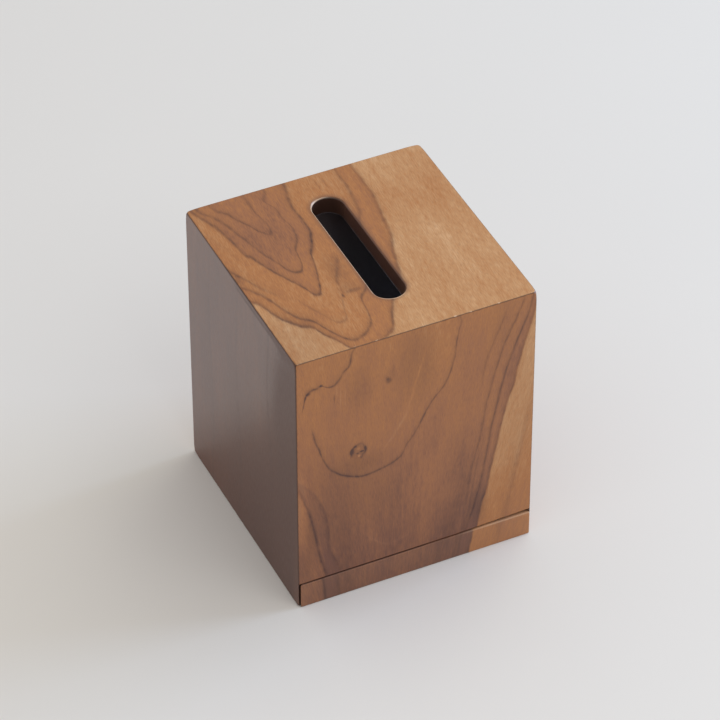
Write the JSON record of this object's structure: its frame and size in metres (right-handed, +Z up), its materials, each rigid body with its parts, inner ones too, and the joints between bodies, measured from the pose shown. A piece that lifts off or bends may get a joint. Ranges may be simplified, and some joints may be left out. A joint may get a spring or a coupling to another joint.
{
  "type": "tissue box",
  "caption": "Upright wooden tissue box with mitred corners, a long slot in the top, and a base board with a front strip that slides out for refilling.",
  "frame": {"origin": "middle of the box on the surface that it stands on", "axes": "+Z up, -Y towards the front, where the strip of the sliding base shows, and +X to the right as the front is seen. The tissue slot runs along Y"},
  "size_m": [0.13, 0.1323, 0.16],
  "materials": {
    "teak_top": "oiled and fine sanded, satin",
    "teak_front": "oiled and fine sanded, satin",
    "teak_sides": "oiled and fine sanded, satin",
    "teak_base": "planed and lightly oiled, matt"
  },
  "bodies": {
    "case": {"top_board": "teak_top", "front_board": "teak_front", "back_board": "teak_front", "left_board": "teak_sides", "right_board": "teak_sides"},
    "base": {"base_board": "teak_base", "base_strip": "teak_front"}
  },
  "joints": [
    {"name": "base_slide", "type": "slide", "parent": "case", "child": "base", "axis": [0, -1, 0], "range_m": [0, 0.125]}
  ]
}
